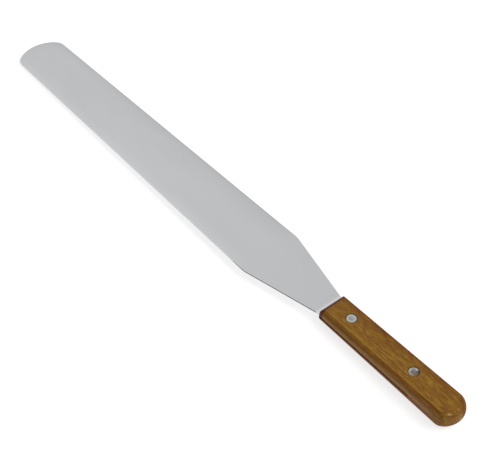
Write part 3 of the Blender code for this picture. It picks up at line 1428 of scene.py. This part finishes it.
    @property
    def sleeve_diameter(self) -> float:
        """Outer diameter of the sleeve."""
        return self.post_diameter + 2 * self.gap + 2 * self.sleeve_wall

    @property
    def seat_depth(self) -> float:
        """Depth of the counterbore below the wood's face."""
        return self.recess + self.head_thickness + self.gap

    @property
    def outer_height(self) -> float:
        """Height of a head's outer face, up or down from the middle."""
        return self.face - self.recess

    @property
    def inner_height(self) -> float:
        """Height of a head's inner face, up or down from the middle."""
        return self.outer_height - self.head_thickness

    @property
    def shank_length(self) -> float:
        """Length of the post and of the sleeve without their heads."""
        return 2 * self.inner_height - self.gap

    def head(self, side: Face) -> Item:
        """Model a rivet head, chamfered and dished, with nothing on its inner face.

        Args:
            side: The side of the handle it sits in.

        Returns:
            The head.
        """
        outer, inner = side.value * self.outer_height, side.value * self.inner_height
        name = f"{self.name}_{'post' if side is Face.UPPER else 'sleeve'}_turned"
        head = cylinder(name, self.head_diameter / 2, self.u, min(outer, inner), max(outer, inner), self.steps)
        with editing(head, "EDGE"):
            select_where(head, "edges", lambda edge: lies_at(edge, outer))
            bpy.ops.mesh.bevel(offset=self.rim_chamfer, segments=4, profile=0.6, affect="EDGES")
        with editing(head, "FACE"):
            select_where(head, "faces", lambda face: lies_at(face, outer))
            rim = (self.head_diameter - self.dish_diameter) / 2 - self.rim_chamfer
            bpy.ops.mesh.inset(thickness=rim, depth=0.0)
            shares = [1 - ring / self.dish_rings for ring in range(self.dish_rings + 1)]
            for wide, narrow in zip(shares, shares[1:]):
                thickness = self.dish_diameter / 2 * (wide - narrow) * (1 if narrow else self.last_ring)
                bpy.ops.mesh.inset(thickness=thickness, depth=-self.dish * (wide ** 2 - narrow ** 2))
        return head

    def build_post(self) -> Item:
        """Model the post with its head.

        Returns:
            The post.
        """
        post = self.head(Face.UPPER)
        with editing(post, "FACE"):
            select_where(post, "faces", lambda face: lies_at(face, self.inner_height))
            bpy.ops.mesh.inset(thickness=(self.head_diameter - self.post_diameter) / 2, depth=0.0)
            extrude_upwards(self.point_length - self.shank_length)
            extrude_upwards(-self.point_length)
            bpy.ops.transform.resize(value=(self.point_share, self.point_share, 1.0))
        return post

    def build_sleeve(self) -> Item:
        """Model the sleeve with its head.

        Returns:
            The sleeve.
        """
        sleeve = self.head(Face.LOWER)
        with editing(sleeve, "FACE"):
            select_where(sleeve, "faces", lambda face: lies_at(face, -self.inner_height))
            bpy.ops.mesh.inset(thickness=(self.head_diameter - self.sleeve_diameter) / 2, depth=0.0)
            extrude_upwards(self.shank_length)
            bpy.ops.mesh.inset(thickness=self.sleeve_wall, depth=0.0)
            extrude_upwards(-self.shank_length)
        return sleeve

    def dress(self, piece: Item, part: str, material: Material) -> None:
        """Give one half of the rivet its finish and its place.

        Args:
            piece: The half.
            part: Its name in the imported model: post or sleeve.
            material: Its material.
        """
        smooth(piece, self.smooth_angle)
        piece.data.materials.append(material)
        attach(piece, BODY)
        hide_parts(f"{self.name}_{part}")


@dataclass
class IcingSpatula:
    """The whole tool."""

    blade: Blade = field(default_factory=Blade)
    handle: Handle = field(default_factory=Handle)
    rivet_places: Span = (0.0194, 0.0780)
    rear_dish: float = 0.00022
    seat_gap: float = 0.00012

    @property
    def lie(self) -> Lie:
        """How the tool lies, from the handle's taper and the two lengths.

        Returns:
            The lie.
        """
        handle = self.handle
        slope = atan((handle.rear_thickness - handle.front_thickness) / 2 / handle.length)
        return Lie(slope, (self.blade.exposed_length - handle.length) / 2, handle.front_thickness / 2)

    def rivets(self) -> list[Rivet]:
        """Choose both rivets.

        Returns:
            The rivets, the front one first.
        """
        front, rear = self.rivet_places
        return [Rivet("front_rivet", front, self.handle.half_thickness(front)),
                Rivet("rear_rivet", rear, self.handle.half_thickness(rear), self.rear_dish, finish=DARK_RIVET)]

    def hole(self, rivet: Rivet) -> RivetHole:
        """The hole that a rivet needs."""
        return RivetHole(rivet.u, rivet.sleeve_diameter / 2 + rivet.gap,
                         rivet.head_diameter / 2 + self.seat_gap, rivet.seat_depth)

    def build(self) -> Item:
        """Build and dress every piece.

        Returns:
            The handle.
        """
        lie = self.lie
        rivets = self.rivets()
        holes = [self.hole(rivet) for rivet in rivets]
        centres = tuple(lie.matrix() @ Vector((rivet.u, 0.0, 0.0)) for rivet in rivets)
        blade = self.blade.build(holes)
        lie.lay(blade)
        self.blade.dress(blade, lie.front)
        report(blade)
        handle = self.handle.build(holes)
        lie.lay(handle)
        self.handle.dress(handle, lie.front, centres, holes[0].seat_radius)
        report(handle)
        for rivet, centre in zip(rivets, centres):
            material = rivet.finish.material(f"{rivet.name}_metal", centre, rivet.dish_diameter / 2,
                                             rivet.head_diameter / 2)
            for part, piece in (("post", rivet.build_post()), ("sleeve", rivet.build_sleeve())):
                lie.lay(piece)
                rivet.dress(piece, part, material)
                report(piece)
        return handle


def report(piece: Item) -> None:
    """Log a piece's name and its number of faces."""
    LOG.info("%s: %d faces", piece.name, len(piece.data.polygons))


# Studio


@dataclass(frozen=True)
class Lamp:
    """A square lamp that faces the tool, and where it hangs as seen from there."""

    name: str
    direction: Triple
    size: float
    power: float

    def hang(self, target: Triple, distance: float) -> Item:
        """Hang the lamp.

        Args:
            target: The place that it faces.
            distance: How far from there it hangs.

        Returns:
            The lamp's object.
        """
        away = Vector(self.direction).normalized()
        deselect_all()
        bpy.ops.object.light_add(type="AREA", location=away * distance + Vector(target))
        lamp = bpy.context.object
        lamp.name = self.name
        lamp.rotation_euler = away.to_track_quat("Z", "Y").to_euler()
        lamp.data.shape = "SQUARE"
        lamp.data.size = self.size
        lamp.data.energy = self.power
        return lamp


@dataclass(frozen=True)
class Studio:
    """A white floor, an even white surround and one soft lamp from the far right."""

    floor_size: float = 6.0
    floor_drop: float = 0.0002
    floor_lift: Fade = Fade(0.45, 1.1, 0.745, 1.0)
    floor_grey: float = 0.36
    bounce_grey: float = 0.90
    surround: float = 0.46
    lamp: Lamp = Lamp("soft_lamp", (0.50, 0.455, 0.73), size=1.1, power=18.6)
    panel: Lamp = Lamp("gloss_panel", (0.82, -0.29, 0.46), size=0.6, power=10.5)
    lamp_target: Triple = (0.1, 0.0, 0.0)
    lamp_distance: float = 1.6
    ceiling_direction: Triple = (-0.53, 0.05, 0.85)
    ceiling_spread: float = 0.42
    ceiling_glow: float = 0.90
    horizon_glow: float = 0.44

    def seen(self, nodes: Nodes) -> Socket:
        """Tell apart the rays that show a surface from light that is scattered.

        Args:
            nodes: The node tree.

        Returns:
            1 for rays from the camera, a gloss or a clear body, and 0 for others.
        """
        path = nodes.add("LightPath")
        gloss = nodes.math("MAXIMUM", path.outputs["Is Glossy Ray"], path.outputs["Is Transmission Ray"])
        return nodes.math("MAXIMUM", path.outputs["Is Camera Ray"], gloss)

    def facing(self, nodes: Nodes, direction: Triple) -> Socket:
        """Compare a ray that leaves the scene with a direction.

        Args:
            nodes: The node tree.
            direction: The direction.

        Returns:
            The cosine of the angle between them.
        """
        coordinates = nodes.add("TexCoord")
        cosine = nodes.add("VectorMath", operation="DOT_PRODUCT")
        nodes.join(coordinates.outputs["Generated"], cosine.inputs[0])
        cosine.inputs[1].default_value = Vector(direction).normalized()
        return cosine.outputs["Value"]

    def reflected(self, nodes: Nodes) -> Socket:
        """Make what a gloss shows.

        Args:
            nodes: The node tree.

        Returns:
            A soft glow overhead that fades towards the horizon.
        """
        away = nodes.math("SUBTRACT", self.facing(nodes, self.ceiling_direction), 1.0)
        fall = nodes.math("EXPONENT", nodes.product(away, self.ceiling_spread ** -2))
        return nodes.math("MULTIPLY_ADD", fall, self.ceiling_glow, self.horizon_glow)

    def matt(self, nodes: Nodes, grey: float) -> Socket:
        """Make a matt grey.

        Args:
            nodes: The node tree.
            grey: How bright it is.

        Returns:
            The shader.
        """
        diffuse = nodes.add("BsdfDiffuse")
        diffuse.inputs["Color"].default_value = (grey, grey, grey, 1.0)
        return diffuse.outputs["BSDF"]

    def build_floor(self) -> None:
        """Lay the floor, white where it isn't shaded."""
        deselect_all()
        bpy.ops.mesh.primitive_plane_add(size=self.floor_size, location=(0.0, 0.0, -self.floor_drop))
        floor = bpy.context.object
        floor.name = "floor"
        material, nodes, shader = new_material("white_floor")
        nodes.tree.nodes.remove(shader)
        lift = nodes.add("Emission")
        nodes.join(nodes.fade(nodes.axis_distance(), self.floor_lift), lift.inputs["Strength"])
        shown = nodes.add("AddShader")
        nodes.join(self.matt(nodes, self.floor_grey), shown.inputs[0])
        nodes.join(lift.outputs["Emission"], shown.inputs[1])
        choice = nodes.add("MixShader")
        nodes.join(self.seen(nodes), choice.inputs["Fac"])
        nodes.join(self.matt(nodes, self.bounce_grey), choice.inputs[1])
        nodes.join(shown.outputs["Shader"], choice.inputs[2])
        nodes.join(choice.outputs["Shader"], nodes.tree.nodes["Material Output"].inputs["Surface"])
        floor.data.materials.append(material)

    def build_surround(self) -> None:
        """Make the world: white where it is seen, and a plain even light."""
        world = bpy.data.worlds.new("surround")
        bpy.context.scene.world = world
        world.use_nodes = True
        nodes = Nodes(world.node_tree)
        background = world.node_tree.nodes["Background"]
        background.inputs["Color"].default_value = (1.0, 1.0, 1.0, 1.0)
        path = nodes.add("LightPath")
        plain = nodes.math("MULTIPLY_ADD", self.seen(nodes), 1.0 - self.surround, self.surround)
        strength = nodes.mix(path.outputs["Is Glossy Ray"], plain, self.reflected(nodes))
        nodes.join(strength, background.inputs["Strength"])

    def build_lamps(self, lacquered: Iterable[Item]) -> None:
        """Hang the soft lamp, and a panel that only shows in the lacquer's gloss.

        Args:
            lacquered: The pieces whose gloss shows the panel.
        """
        lamp = self.lamp.hang(self.lamp_target, self.lamp_distance)
        lamp.visible_glossy = False
        panel = self.panel.hang(self.lamp_target, self.lamp_distance)
        panel.visible_diffuse = False
        shown_in = bpy.data.collections.new("shows_gloss_panel")
        for piece in lacquered:
            shown_in.objects.link(piece)
        panel.light_linking.receiver_collection = shown_in

    def build(self, lacquered: Iterable[Item]) -> None:
        """Build the whole studio.

        Args:
            lacquered: The pieces whose gloss shows the panel.
        """
        self.build_floor()
        self.build_surround()
        self.build_lamps(lacquered)
        bpy.context.scene.view_settings.view_transform = "Standard"


@dataclass(frozen=True)
class Viewpoint:
    """The photograph's camera."""

    place: Triple = (0.542854, -0.453678, 0.746022)
    azimuth: float = radians(48.4105)
    elevation: float = radians(46.8659)
    roll: float = radians(2.0240)
    lens: float = 102.6945
    sensor_width: float = 36.0
    clip_start: float = 0.01

    def build(self) -> None:
        """Set up the camera."""
        deselect_all()
        bpy.ops.object.camera_add(location=self.place)
        camera = bpy.context.object
        camera.name = "camera"
        turn = Matrix.Rotation(self.azimuth, 4, "Z") @ Matrix.Rotation(pi / 2 - self.elevation, 4, "X")
        camera.matrix_world = Matrix.Translation(self.place) @ turn @ Matrix.Rotation(self.roll, 4, "Z")
        camera.data.lens = self.lens
        camera.data.sensor_width = self.sensor_width
        camera.data.clip_start = self.clip_start
        bpy.context.scene.camera = camera


def main() -> None:
    """Build the spatula, the studio and the camera."""
    logging.basicConfig(level=logging.INFO, format="%(message)s")
    Viewpoint().build()
    handle = IcingSpatula().build()
    Studio().build([handle])


if __name__ == "__main__":
    main()
